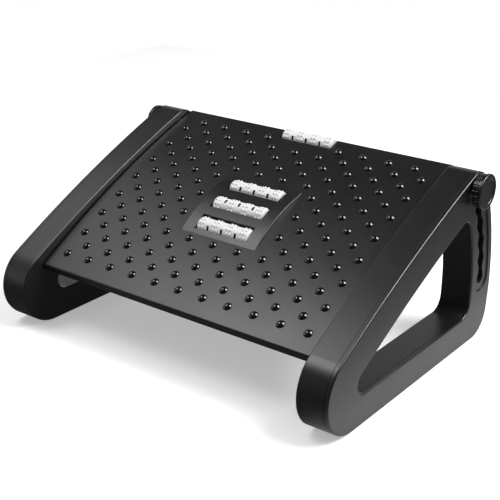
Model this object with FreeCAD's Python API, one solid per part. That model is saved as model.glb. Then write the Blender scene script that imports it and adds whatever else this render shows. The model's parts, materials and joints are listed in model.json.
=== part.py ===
import FreeCAD, Part
import math
import os

# Tilting under-desk footrest, in millimetres.
# +X runs to the sitter's right, +Y away from the sitter and +Z up.
# The origin is on the floor, under the middle of the whole width with the hand knob. The pieces are
# drawn about the middle between the side frames, and moved to that origin at the end.
# Two hollow side frames carry a crowned plate between them. The plate turns on a rod through the
# two noses, and a threaded rod at its back runs in a wavy slot in each frame, where a hand knob
# on its right end clamps it at one of the heights. Its left end has a low round head.

# Overall sizes.
overall_width = 460.0        # over the outer faces of the side frames
overall_depth = 342.0        # nose to rear edge of a side frame
frame_width = 37.6           # one side frame, across X
cover_depth = 5.0            # part of that width that is the outer cover
foot_proud = 1.0             # the rubber pads stand this far below the frame
plate_side_gap = 2.4         # between the plate and a frame, each side
edge_round = 1.6             # rounding of the frame's long edges

# Side frame outline, seen from the side.
nose_radius = 45.5
pivot_behind_nose = 20.5     # plate pivot, measured from the centre of the nose
pivot_over_nose = 21.5
rear_rim = 25.7              # rear edge beyond the slot's centre line
top_rail_radius = 1766.0     # gentle crown of the top rail
top_over_rod = 16.8          # top edge over the rod in its highest notch
top_corner_radius = 23.5
rear_corner_radius = 32.0
top_rail_height = 41.2
bottom_rail_height = 34.5
rear_rail_front = 22.3       # opening's rear edge, in front of the slot's centre line
opening_top_radius = 14.0
opening_front_radius = 13.0
opening_rear_radius = 18.0
frame_wall = 3.0
groove_width = 0.5           # shadow groove between shell and cover
groove_depth = 0.5

# Height slot.
notch_count = 6
lowest_notch = 1.81          # degrees above the pivot's level
notch_pitch = 5.28           # degrees
top_notch_extra = 1.19       # degrees that the top notch lies beyond the regular pitch
notch_radius = 7.5
neck_half_width = 4.7
channel_half_width = 17.0
channel_top = 13.8           # channel's upper end, beyond the centre of the top notch
channel_depth = 1.2
slot_wall = 2.5

# Foot plate.
plate_tilt = 25.41           # degrees, with the rods in the highest notches
plate_front = 27.6           # front edge, in front of the pivot
plate_rear_inset = 2.6       # rear edge, inside the frames' rear edge
plate_crown_height = 31.9    # top of the crown over the pivot, square to the plate
plate_crown_radius = 1296.0
plate_wall = 3.0
plate_lip = 13.0             # height of the front edge
lip_top_round = 2.2
lip_bottom_round = 5.0
lip_return = 3.0             # flat that turns in under the lip
rear_roll_radius = 13.0
rear_skirt_base = 5.0        # bottom of the rear wall, over the pivot
rib_thickness = 2.5
rib_places = (62.0, 125.0)   # long ribs, each side of the middle
cross_rib_depth = 11.0
cross_rib_places = (-70.0, 70.0)
ear_radius = 9.5
ear_front_reach = 19.0       # ear's foot, in front of the pivot
ear_rear_reach = 33.0        # and behind it
long_rib_base = 10.0         # bottom of the long ribs, over the pivot
rod_boss_wall = 4.0          # round the clamp rod, in the long ribs
side_boss_wall = 5.0         # and in the side walls
rod_boss_depth = 12.0        # inward length of the bosses on the side walls

# Domes on the plate.
dome_pitch_x = 17.09
dome_pitch_y = 17.07
dome_rear_margin = 21.0
dome_edge_margin = 16.0
dome_radius = 4.5
dome_height = 2.2
dome_root = 0.6              # how far a dome's foot sinks into the plate
dome_clearance = 2.5         # between a dome and the panel, slots and notch

# Arched roller panel.
panel_half_width = 53.0
panel_length = 99.0
panel_rise = 5.5
panel_edge_round = 1.0
plinth_width = 1.2           # narrow step along the panel's two curved sides
plinth_drop = 2.2            # its top, below the panel
roller_rows = 3
slot_half_width = 37.0
slot_web = 12.0              # panel between two slots
cradle_wall = 2.5
cradle_base = 15.0           # bottom of the cradle walls, over the pivot

# Massage rollers.
roller_radius = 9.5
roller_end_gap = 1.5         # between a roller's end and the cradle wall
roller_proud = 3.0           # crest of a roller over the panel
roller_wall = 2.0
roller_end_wall = 3.0
roller_edge_chamfer = 1.2
window_pitch = 19.5
window_width = 2.0
window_length = 5.5
window_rows = 2
nub_rows = 12                # round the roller
nub_radius = 1.25
nub_sink = 0.15              # centre of a nub's round, below the roller's face
nub_pair_pitch = 4.5
window_leans = (50.0, 0.0, 36.0, 47.0)   # each roller's windows, from square to the plate towards its front
axle_chamfer = 0.4
axle_radius = 2.0
axle_overhang = 2.5          # axle beyond the outer side of a cradle wall
rear_roller_inset = 6.5      # rear roller's axle, in front of the plate's rear edge
rear_roller_height = 19.0    # over the pivot
rear_notch_gap = 1.3         # between the rear roller and the notch's front wall
axle_clearance = 0.05

# Roller retainer.
retainer_thickness = 2.5
retainer_gap = 0.1
retainer_half_width = 52.0
finger_clearance = 0.1
retainer_window_margin = 1.5  # window's front and rear, inside the slots
retainer_screw_x = 46.0
retainer_screw_margin = 6.5  # screws' place, inside the panel's ends
retainer_corner = 4.0
retainer_window_inset = 4.0  # window's ends, inside the rollers' slots
screw_radius = 1.75
screw_head_radius = 3.4
screw_head_height = 2.2
screw_head_round = 0.8
recess_reach = 2.0           # arm of the cross recess, from its middle
recess_half_width = 0.5
recess_depth = 1.0
screw_clearance = 0.05
boss_radius = 4.2
retainer_screw_length = 11.0

# Rods, bushes, washers and nuts.
pivot_rod_radius = 4.0
pivot_end_radius = 3.0
pivot_boss_radius = 7.4
pivot_boss_length = 22.0
pivot_end_inset = 1.0        # rod's end, inside the cover's inner face
rod_radius = 3.0
running_clearance = 0.06
fit_clearance = 0.05
rod_end_inset = 5.0          # rod's end, inside the knob's outer face
bush_radius = 4.4
bush_flange_radius = 8.0
bush_flange_thickness = 2.0
nut_flats = 10.0
nut_height = 5.0
nut_chamfer = 0.6
nut_turning = 0.05           # turned off a nut's corners
nut_relief = 0.2             # room round a rod nut, inside the plate
washer_radius = 12.0
washer_thickness = 1.0
washer_gap = 0.1
small_washer_radius = 6.0
small_washer_thickness = 1.0
nut_pocket_radius = 6.3

# Hand knob on the right end of the clamp rod.
knob_projection = 14.1       # outer face of the knob, beyond the frame
knob_radius = 19.0
knob_rim_radius = 20.0
knob_skirt_gap = 3.0         # skirt's inner end, beyond the frame
knob_cap_depth = 3.9
knob_groove_count = 22
knob_groove_radius = 1.5
knob_groove_depth = 1.0
knob_band_place = 2.8        # band between the two rows of grips, from the skirt's inner end
knob_band_width = 1.0
knob_hub_radius = 11.5
knob_wall = 2.4
knob_edge_round = 0.8
rim_round = 1.3
dish_radius = 15.2           # flat middle of the cap
dish_depth = 0.8
dish_slope = 0.72            # sloping foot of the dish's side
insert_height = 5.0
cap_plug_depth = 1.5
cap_bore_gap = 1.0           # between the clamp rod's end and the cap's bore

# Low round head on the left end of the clamp rod.
head_radius = 18.8
head_projection = 6.0        # beyond the frame
head_gap = 0.5               # between the head and the frame
head_neck_radius = 11.5
head_thread_depth = 4.0      # rod in the head's blind bore, beyond the frame

# Cover screws and rubber pads.
cover_screw_bore = 3.7       # counterbore of a cover screw's head
cover_screw_sink = 7.0       # depth of that counterbore
screw_web = 2.0              # plastic under a cover screw's head
cover_post_radius = 4.2
cover_screw_length = 16.0
cover_post_gap = 0.1
screw_boss_wall = 2.5        # round the counterbore
rail_screw_shares = (0.12, 0.5, 0.82)    # cover screws along the top rail, from rear to front
pad_length = 48.0
pad_width = 24.0
pad_thickness = 3.0
pad_side_gap = 0.3
pad_end_inset = 6.0          # pad's outer end, from where the base turns up
pad_edge_round = 0.8

# Places that follow from the sizes above.
half_width = overall_width / 2
inner_face = half_width - frame_width
parting_face = half_width - cover_depth
plate_half_width = inner_face - plate_side_gap
nose_centre = (-overall_depth / 2 + nose_radius, foot_proud + nose_radius)
pivot = (nose_centre[0] + pivot_behind_nose, nose_centre[1] + pivot_over_nose)
rear_arc_radius = overall_depth / 2 - pivot[0]
slot_radius = rear_arc_radius - rear_rim
opening_arc_radius = slot_radius - rear_rail_front
highest_notch = lowest_notch + (notch_count - 1) * notch_pitch + top_notch_extra
rod_angle = math.radians(highest_notch - plate_tilt)
rod_y = slot_radius * math.cos(rod_angle)
rod_z = slot_radius * math.sin(rod_angle)
plate_rear = rear_arc_radius - plate_rear_inset
plate_middle = (plate_rear - plate_front) / 2
crown_centre = (plate_middle, plate_crown_height - plate_crown_radius)
channel_floor = half_width - channel_depth
knob_face = half_width + knob_projection
roller_half_length = slot_half_width - roller_end_gap
axle_half_length = slot_half_width + cradle_wall + axle_overhang
rear_roller_y = plate_rear - rear_roller_inset
rear_notch_front = rear_roller_y - roller_radius - rear_notch_gap
roller_pitch = panel_length / roller_rows
slot_length = roller_pitch - slot_web
cap_pocket_radius = knob_radius - knob_groove_depth - knob_wall
recess_arms = ((recess_half_width, recess_reach), (recess_reach, recess_half_width))
whole_middle = (knob_projection - head_projection) / 2


def polar(centre, radius, angle):
    """Point at a distance and an angle in radians from a centre, in the side view."""
    return (centre[0] + radius * math.cos(angle), centre[1] + radius * math.sin(angle))


def towards(start, end, distance):
    """Point on the way from start to end, at a distance from start."""
    share = distance / math.dist(start, end)
    return (start[0] + (end[0] - start[0]) * share, start[1] + (end[1] - start[1]) * share)


def circles_meet(first, first_radius, second, second_radius, side):
    """Where two circles cross; side is +1 for the left of the way from first to second, else -1."""
    span = math.dist(first, second)
    along = (span ** 2 + first_radius ** 2 - second_radius ** 2) / (2 * span)
    across = side * math.sqrt(first_radius ** 2 - along ** 2)
    unit = ((second[0] - first[0]) / span, (second[1] - first[1]) / span)
    return (first[0] + along * unit[0] - across * unit[1], first[1] + along * unit[1] + across * unit[0])


def circle_at_level(centre, radius, level, side):
    """Where a circle crosses a level line; side is +1 for the rear crossing, else -1."""
    return (centre[0] + side * math.sqrt(radius ** 2 - (level - centre[1]) ** 2), level)


def circle_at_depth(centre, radius, depth):
    """Upper crossing of a circle with an upright line."""
    return (depth, centre[1] + math.sqrt(radius ** 2 - (depth - centre[0]) ** 2))


def in_space(point, x=0.0):
    """A side-view point as a vector at a place across the footrest."""
    return FreeCAD.Vector(x, point[0], point[1])


def line(start, end):
    return Part.makeLine(in_space(start), in_space(end))


def arc(centre, start, end):
    """Arc under a half circle about a centre."""
    middle = ((start[0] + end[0]) / 2, (start[1] + end[1]) / 2)
    return arc_through(start, towards(centre, middle, math.dist(centre, start)), end)


def arc_through(start, middle, end):
    return Part.Arc(in_space(start), in_space(middle), in_space(end)).toShape()


def polyline(points):
    """Closed loop of straight edges."""
    return [line(start, end) for start, end in zip(points, points[1:] + points[:1])]


def prism(edges, x_low, x_high):
    """Solid with a side-view outline, between two places across the footrest."""
    face = Part.Face(Part.Wire(edges))
    face.translate(FreeCAD.Vector(x_low, 0, 0))
    return face.extrude(FreeCAD.Vector(x_high - x_low, 0, 0))


def rod(centre, radius, x_low, x_high):
    """Round bar across the footrest."""
    return Part.makeCylinder(radius, x_high - x_low, in_space(centre, x_low), FreeCAD.Vector(1, 0, 0))


def box(x_low, x_high, y_low, y_high, z_low, z_high):
    return Part.makeBox(x_high - x_low, y_high - y_low, z_high - z_low, FreeCAD.Vector(x_low, y_low, z_low))


def hexagon(centre, flats, x_low, x_high):
    """Six-sided bar across the footrest, with two flats along the plate."""
    corners = [polar(centre, flats / math.sqrt(3), math.radians(60 * k + plate_tilt)) for k in range(6)]
    return prism(polyline(corners), x_low, x_high)


def span_on_side(side, first, second):
    """Low and high end of a stretch across the footrest, on the right for +1 or the left for -1."""
    return min(side * first, side * second), max(side * first, side * second)


def mirrored(shape):
    """The same shape on the other side of the footrest."""
    return shape.mirror(FreeCAD.Vector(0, 0, 0), FreeCAD.Vector(1, 0, 0))


def single(shape):
    """The one solid of a boolean result, with its split faces joined."""
    shape = shape.removeSplitter()
    return shape.Solids[0] if len(shape.Solids) == 1 else shape


def round_edges(shape, radius, wanted):
    """Rounds every edge that a test picks."""
    edges = [edge for edge in shape.Edges if wanted(edge)]
    return shape.makeFillet(radius, edges)


def chamfer_ends(bar, size):
    """Chamfers the round edges at both ends of a bar across the footrest."""
    return bar.makeChamfer(size, [edge for edge in bar.Edges if edge.BoundBox.XLength < 0.01])


def on_plate(shape):
    """Tilts a shape that is drawn flat, about the pivot, into the plate's place."""
    placed = shape.copy()
    placed.rotate(FreeCAD.Vector(0, 0, 0), FreeCAD.Vector(1, 0, 0), plate_tilt)
    placed.translate(in_space(pivot))
    return placed


def notch_angle(index):
    extra = top_notch_extra if index == notch_count - 1 else 0.0
    return math.radians(lowest_notch + index * notch_pitch + extra)


def notch_point(index):
    return polar(pivot, slot_radius, notch_angle(index))


# Side frame outlines. Each is a chain of tangent arcs about fixed centres, so that an inset or a
# growth only changes the radii and gives an even wall.
top_rod = notch_point(notch_count - 1)
top_centre = circles_meet(nose_centre, top_rail_radius - nose_radius, top_rod,
                          top_rail_radius - top_over_rod, -1)
corner_centre = circles_meet(pivot, rear_arc_radius - top_corner_radius, top_centre,
                             top_rail_radius - top_corner_radius, 1)
base_corner = circle_at_level(pivot, rear_arc_radius - rear_corner_radius, foot_proud + rear_corner_radius, 1)
opening_floor = foot_proud + bottom_rail_height
opening_top_arc = top_rail_radius - top_rail_height
opening_top = circles_meet(pivot, opening_arc_radius - opening_top_radius, top_centre,
                           opening_top_arc - opening_top_radius, 1)
opening_front = circle_at_level(top_centre, opening_top_arc - opening_front_radius,
                                opening_floor + opening_front_radius, -1)
opening_rear = circle_at_level(pivot, opening_arc_radius - opening_rear_radius,
                               opening_floor + opening_rear_radius, 1)


def frame_outline(inset=0.0):
    floor = foot_proud + inset
    crown = top_rail_radius - inset
    rear = rear_arc_radius - inset
    nose_low = (nose_centre[0], floor)
    nose_high = towards(top_centre, nose_centre, crown)
    corner_front = towards(top_centre, corner_centre, crown)
    corner_back = towards(pivot, corner_centre, rear)
    base_high = towards(pivot, base_corner, rear)
    base_low = (base_corner[0], floor)
    return [arc(nose_centre, nose_low, nose_high), arc(top_centre, nose_high, corner_front),
            arc(corner_centre, corner_front, corner_back), arc(pivot, corner_back, base_high),
            arc(base_corner, base_high, base_low), line(base_low, nose_low)]


def opening_outline(growth=0.0):
    floor = opening_floor - growth
    crown = opening_top_arc + growth
    rear = opening_arc_radius + growth
    front_low = (opening_front[0], floor)
    front_high = towards(top_centre, opening_front, crown)
    top_front = towards(top_centre, opening_top, crown)
    top_back = towards(pivot, opening_top, rear)
    rear_high = towards(pivot, opening_rear, rear)
    rear_low = (opening_rear[0], floor)
    return [arc(opening_front, front_low, front_high), arc(top_centre, front_high, top_front),
            arc(opening_top, top_front, top_back), arc(pivot, top_back, rear_high),
            arc(opening_rear, rear_high, rear_low), line(rear_low, front_low)]


def neck_chain(side, growth):
    """Points of one flank of the wavy slot, from the lowest notch up: start, waist, end of each neck."""
    bulb = notch_radius + growth
    neck = neck_half_width + growth
    chain = []
    for k in range(notch_count - 1):
        angle = (notch_angle(k) + notch_angle(k + 1)) / 2
        bow = 2 * slot_radius * (1 - math.cos(notch_angle(k + 1) - angle))
        neck_radius = ((bow * (slot_radius + side * neck) + neck ** 2 - bulb ** 2)
                       / (2 * (bulb - neck) - side * bow))
        bend = polar(pivot, slot_radius + side * (neck + neck_radius), angle)
        waist = polar(pivot, slot_radius + side * neck, angle)
        chain.append((towards(notch_point(k), bend, bulb), waist, towards(notch_point(k + 1), bend, bulb)))
    return chain


def wavy_slot(growth, x_low, x_high):
    """The height slot: round notches joined by necks whose arcs run smoothly into them."""
    bulb = notch_radius + growth
    edges = []
    chains = {}
    for side in (1, -1):
        chains[side] = neck_chain(side, growth)
        for k, (start, waist, end) in enumerate(chains[side]):
            edges.append(arc_through(start, waist, end))
            if k:
                crest = polar(pivot, slot_radius + side * bulb, notch_angle(k))
                edges.append(arc_through(chains[side][k - 1][2], crest, start))
    bottom = notch_point(0)
    bottom_tip = polar(bottom, bulb, notch_angle(0) - math.pi / 2)
    top_tip = polar(top_rod, bulb, notch_angle(notch_count - 1) + math.pi / 2)
    edges.append(arc_through(chains[-1][0][0], bottom_tip, chains[1][0][0]))
    edges.append(arc_through(chains[1][-1][2], top_tip, chains[-1][-1][2]))
    return prism(Part.__sortEdges__(edges), x_low, x_high)


def channel(x_low, x_high):
    """The shallow track round the slot in which the knob's washer travels."""
    low = notch_angle(0)
    high = notch_angle(notch_count - 1)
    outer = slot_radius + channel_half_width
    inner = slot_radius - channel_half_width
    low_end = polar(notch_point(0), channel_half_width, low - math.pi / 2)
    high_end = polar(top_rod, channel_top, high + math.pi / 2)
    edges = [arc(pivot, polar(pivot, outer, low), polar(pivot, outer, high)),
             arc_through(polar(pivot, outer, high), high_end, polar(pivot, inner, high)),
             arc(pivot, polar(pivot, inner, high), polar(pivot, inner, low)),
             arc_through(polar(pivot, inner, low), low_end, polar(pivot, outer, low))]
    return prism(edges, x_low, x_high)


# Side frames.
def pad_spans():
    """The two stretches of the base that carry rubber pads, front and rear."""
    front = nose_centre[0] + pad_end_inset
    rear = base_corner[0] - pad_end_inset
    return ((front, front + pad_length), (rear - pad_length, rear))


def screw_places():
    """Cover screws: three in the top rail and two in the base."""
    top_mid = top_rail_radius - top_rail_height / 2
    base = foot_proud + bottom_rail_height / 2 + frame_wall / 2
    spread = (math.atan2(opening_top[0] - top_centre[0], opening_top[1] - top_centre[1]),
              math.atan2(opening_front[0] - top_centre[0], opening_front[1] - top_centre[1]))
    places = []
    for share in rail_screw_shares:
        lean = spread[0] + (spread[1] - spread[0]) * share
        places.append((top_centre[0] + top_mid * math.sin(lean), top_centre[1] + top_mid * math.cos(lean)))
    places.append((0.0, base))
    places.append((base_corner[0], base))
    return places


def frame_shell():
    """Deep inner half of the right side frame, open towards its cover."""
    body = prism(frame_outline(), inner_face, parting_face)
    body = round_edges(body, edge_round, lambda edge: edge.BoundBox.XMax < inner_face + 0.01)
    groove = prism(frame_outline(), parting_face - groove_width, parting_face)
    body = body.cut(groove.cut(prism(frame_outline(groove_depth), parting_face - groove_width, parting_face)))
    hollow = prism(frame_outline(frame_wall), inner_face + frame_wall, parting_face)
    core = prism(opening_outline(frame_wall), inner_face, parting_face)
    wall = body.cut(hollow.cut(core))
    inside = prism(frame_outline(frame_wall / 2), inner_face + frame_wall / 2, parting_face)
    seats = [prism(polyline([(low - frame_wall, foot_proud + frame_wall / 2),
                             (high + frame_wall, foot_proud + frame_wall / 2),
                             (high + frame_wall, foot_proud + frame_wall + pad_thickness - foot_proud),
                             (low - frame_wall, foot_proud + frame_wall + pad_thickness - foot_proud)]),
                   inner_face + frame_wall / 2, parting_face) for low, high in pad_spans()]
    bosses = [rod(place, cover_screw_bore + screw_boss_wall, inner_face + frame_wall / 2,
                  inner_face + cover_screw_sink + screw_web) for place in screw_places()]
    bosses.append(rod(pivot, pivot_boss_radius, inner_face + frame_wall / 2, inner_face + pivot_boss_length))
    bosses.append(wavy_slot(slot_wall, inner_face + frame_wall / 2, parting_face))
    wall = wall.fuse([piece.common(inside) for piece in seats + bosses])
    wall = wall.cut(prism(opening_outline(), inner_face - 1, parting_face + 1))
    cuts = [wavy_slot(0, inner_face - 1, parting_face + 1)]
    cuts.append(prism(opening_outline(groove_depth), parting_face - groove_width, parting_face + 1))
    cuts.append(rod(pivot, pivot_end_radius + fit_clearance, inner_face - 1, parting_face + 1))
    cuts.append(rod(pivot, nut_pocket_radius, inner_face + pivot_boss_length, parting_face + 1))
    cuts += [rod(place, cover_screw_bore, inner_face - 1, inner_face + cover_screw_sink)
             for place in screw_places()]
    cuts += [rod(place, screw_radius + screw_clearance, inner_face - 1, parting_face)
             for place in screw_places()]
    cuts += [pad_seat(low, high) for low, high in pad_spans()]
    return single(wall.cut(cuts))


def pad_seat(low, high):
    """Recess in the base that holds a rubber pad."""
    middle = inner_face + frame_width / 2
    return box(middle - pad_width / 2 - pad_side_gap, middle + pad_width / 2 + pad_side_gap,
               low - pad_side_gap, high + pad_side_gap, foot_proud - 1, pad_thickness)


def frame_cover():
    """Outer half of the right side frame, with the channel and the wavy slot."""
    body = prism(frame_outline(), parting_face, half_width)
    body = body.cut(prism(opening_outline(), parting_face - 1, half_width + 1))
    body = round_edges(body, edge_round, lambda edge: edge.BoundBox.XMin > half_width - 0.01)
    solid_web = slot_radius - channel_half_width - frame_wall
    hollow = prism(frame_outline(frame_wall), parting_face - 1, half_width - frame_wall)
    hollow = hollow.cut(prism(opening_outline(frame_wall), parting_face - 2, half_width))
    hollow = hollow.common(rod(pivot, solid_web, parting_face - 1, half_width))
    posts = [rod(place, cover_post_radius, inner_face + cover_screw_sink + screw_web + cover_post_gap,
                 half_width - frame_wall / 2) for place in screw_places()]
    body = body.cut(hollow).fuse(posts)
    cuts = [channel(channel_floor, half_width + 1), wavy_slot(0, parting_face - 1, half_width)]
    cuts += [rod(place, screw_radius + screw_clearance, inner_face, half_width - frame_wall)
             for place in screw_places()]
    return single(body.cut(cuts))


def cover_screws():
    """Pan-head screws that hold a cover, driven from the frame's inner face."""
    seat = inner_face + cover_screw_sink
    return Part.makeCompound([pan_screw(place, seat, cover_screw_length) for place in screw_places()])


def pan_screw(place, seat, length):
    top = seat - screw_head_height
    head = rod(place, screw_head_radius, top, seat)
    head = round_edges(head, screw_head_round, lambda edge: edge.BoundBox.XMax < top + 0.01)
    recess = [box(top - 1, top + recess_depth, place[0] - wide, place[0] + wide,
                  place[1] - tall, place[1] + tall) for wide, tall in recess_arms]
    return single(head.fuse(rod(place, screw_radius, seat, seat + length)).cut(recess))


def rubber_pad(low, high):
    middle = inner_face + frame_width / 2
    pad = box(middle - pad_width / 2, middle + pad_width / 2, low, high, 0, pad_thickness)
    pad = round_edges(pad, pad_end_inset - 1, lambda edge: edge.BoundBox.ZLength > pad_thickness / 2)
    return round_edges(pad, pad_edge_round, lambda edge: edge.BoundBox.ZMax < 0.01)


# Foot plate, drawn flat about its pivot and then tilted.
def plate_top(depth):
    """Height of the plate's crown at a depth."""
    return circle_at_depth(crown_centre, plate_crown_radius, depth)[1]


def panel_arc():
    """Centre and radius of the roller panel's arch."""
    foot = plate_top(plate_middle + panel_length / 2)
    rise = plate_crown_height + panel_rise - foot
    radius = ((panel_length / 2) ** 2 + rise ** 2) / (2 * rise)
    return (plate_middle, foot + rise - radius), radius


def plate_profile(inset):
    """Closed side view of the plate's shell; an inset gives its inside."""
    crown = plate_crown_radius - inset
    front = -plate_front + inset
    rear = plate_rear - inset
    base = plate_top(-plate_front) - plate_lip
    top_round = circle_at_depth(crown_centre, plate_crown_radius - lip_top_round,
                                -plate_front + lip_top_round)
    roll = circle_at_depth(crown_centre, plate_crown_radius - rear_roll_radius, plate_rear - rear_roll_radius)
    low_round = (-plate_front + lip_bottom_round, base + lip_bottom_round)
    lip_end = -plate_front + lip_bottom_round + lip_return
    if inset:
        corner = circle_at_depth(crown_centre, crown, front)
        crest = towards(crown_centre, roll, crown)
        return [line((front, low_round[1]), corner), arc(crown_centre, corner, crest),
                arc(roll, crest, (rear, roll[1])), line((rear, roll[1]), (rear, rear_skirt_base - inset)),
                line((rear, rear_skirt_base - inset), (lip_end, -plate_lip)),
                line((lip_end, -plate_lip), (lip_end, base + inset)),
                line((lip_end, base + inset), (low_round[0], base + inset)),
                arc(low_round, (low_round[0], base + inset), (front, low_round[1]))]
    edge_low = (-plate_front, top_round[1])
    edge_high = towards(crown_centre, top_round, plate_crown_radius)
    crest = towards(crown_centre, roll, plate_crown_radius)
    return [line((-plate_front, low_round[1]), edge_low), arc(top_round, edge_low, edge_high),
            arc(crown_centre, edge_high, crest), arc(roll, crest, (plate_rear, roll[1])),
            line((plate_rear, roll[1]), (plate_rear, rear_skirt_base)),
            line((plate_rear, rear_skirt_base), (lip_end, base)), line((lip_end, base), (low_round[0], base)),
            arc(low_round, (low_round[0], base), (-plate_front, low_round[1]))]


def ear(x_low, x_high):
    """Fin that carries the pivot rod, running up into the plate."""
    top = cradle_base
    left = (-ear_front_reach, top)
    right = (ear_rear_reach, top)
    left_touch = touch_point(left, -1)
    right_touch = touch_point(right, 1)
    lowest = (0.0, -ear_radius)
    return prism([line(left, left_touch), arc_through(left_touch, lowest, right_touch),
                  line(right_touch, right), line(right, left)], x_low, x_high)


def touch_point(start, side):
    """Where a line from a point touches the ear's round end."""
    span = math.hypot(*start)
    return polar((0, 0), ear_radius, math.atan2(start[1], start[0]) + side * -math.acos(ear_radius / span))


def panel_prism(inset, widening=0.0):
    """Body under the panel's arch, down to below the crown."""
    centre, radius = panel_arc()
    half = panel_length / 2
    side_face = panel_half_width - inset + widening
    ends = [circle_at_depth(centre, radius - inset, plate_middle + side * (half - inset)) for side in (-1, 1)]
    floor = plate_crown_height - 2 * plate_wall - inset
    corners = [(end[0], floor) for end in ends]
    edges = [arc(centre, ends[0], ends[1]), line(ends[1], corners[1]), line(corners[1], corners[0]),
             line(corners[0], ends[0])]
    return prism(edges, -side_face, side_face)


def on_arch(edge):
    """The two curved edges along the sides of the panel."""
    in_side_face = edge.BoundBox.XLength < 0.01 and edge.BoundBox.YLength > panel_length / 2
    return in_side_face and edge.Curve.TypeId == "Part::GeomCircle"


def roller_places():
    """Axles of the rollers in the panel, from front to rear."""
    centre, radius = panel_arc()
    places = []
    for k in range(roller_rows):
        depth = plate_middle + (k - (roller_rows - 1) / 2) * roller_pitch
        crest = circle_at_depth(centre, radius, depth)[1]
        places.append((depth, crest + roller_proud - roller_radius))
    return places


def dome(x, depth):
    """Low round dome that stands square on the crown."""
    sphere = (dome_radius ** 2 + dome_height ** 2) / (2 * dome_height)
    low = sphere - dome_height
    lean = math.asin((depth - crown_centre[0]) / plate_crown_radius)
    rim = math.asin(dome_radius / sphere)
    tip = FreeCAD.Vector(0, 0, dome_height)
    side = FreeCAD.Vector(sphere * math.sin(rim / 2), 0, sphere * math.cos(rim / 2) - low)
    foot = FreeCAD.Vector(dome_radius, 0, 0)
    corners = [foot, FreeCAD.Vector(dome_radius, 0, -dome_root), FreeCAD.Vector(0, 0, -dome_root), tip]
    edges = [Part.Arc(tip, side, foot).toShape()]
    edges += [Part.makeLine(start, end) for start, end in zip(corners, corners[1:])]
    shape = Part.Face(Part.Wire(edges)).revolve(FreeCAD.Vector(0, 0, 0), FreeCAD.Vector(0, 0, 1), 360)
    shape.rotate(FreeCAD.Vector(0, 0, 0), FreeCAD.Vector(1, 0, 0), -math.degrees(lean))
    shape.translate(FreeCAD.Vector(x, depth, plate_top(depth)))
    return shape


def dome_places():
    """Staggered lattice of domes, clear of the panel and the rear notch."""
    first = plate_rear - dome_rear_margin
    rows = int((first + plate_front - dome_edge_margin) / dome_pitch_y) + 1
    half_columns = int((plate_half_width - dome_edge_margin) / dome_pitch_x)
    keep = dome_radius + dome_clearance
    half_panel = panel_length / 2
    places = []
    for row in range(rows):
        depth = first - row * dome_pitch_y
        for column in range(-half_columns, half_columns + 1):
            x = column * dome_pitch_x
            if (row + column + 1) % 2:
                continue
            in_panel = abs(x) < panel_half_width + keep and abs(depth - plate_middle) < half_panel + keep
            in_notch = abs(x) < slot_half_width + keep and depth > rear_notch_front - keep
            if not in_panel and not in_notch:
                places.append((x, depth))
    return places


def plate_ribs():
    """Long ribs, cross ribs, roller cradle and the walls of the rear notch."""
    top = plate_crown_height + panel_rise
    ribs = []
    for place in rib_places:
        for side in (-1, 1):
            x = side * place - rib_thickness / 2
            ribs.append(box(x, x + rib_thickness, -plate_front, plate_rear, long_rib_base, top))
            ribs.append(ear(x, x + rib_thickness))
            ribs.append(rod((rod_y, rod_z), rod_radius + rod_boss_wall, x, x + rib_thickness))
    for place in cross_rib_places:
        depth = plate_middle + place
        ribs.append(box(-plate_half_width, plate_half_width, depth - rib_thickness / 2,
                        depth + rib_thickness / 2, plate_top(depth) - plate_wall - cross_rib_depth, top))
    front = plate_middle - panel_length / 2
    rear = plate_middle + panel_length / 2
    notch_wall = rear_notch_front - cradle_wall
    for side in (-1, 1):
        low, high = span_on_side(side, slot_half_width, slot_half_width + cradle_wall)
        ribs.append(box(low, high, front, rear, cradle_base, top))
        ribs.append(box(low, high, notch_wall, plate_rear, rear_skirt_base, top))
    reach = slot_half_width + cradle_wall
    ribs.append(box(-reach, reach, notch_wall, rear_notch_front, rear_skirt_base, top))
    return ribs


def retainer_places():
    reach = panel_length / 2 - retainer_screw_margin
    return [(x, plate_middle + y) for x in (-retainer_screw_x, retainer_screw_x) for y in (-reach, reach)]


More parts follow.
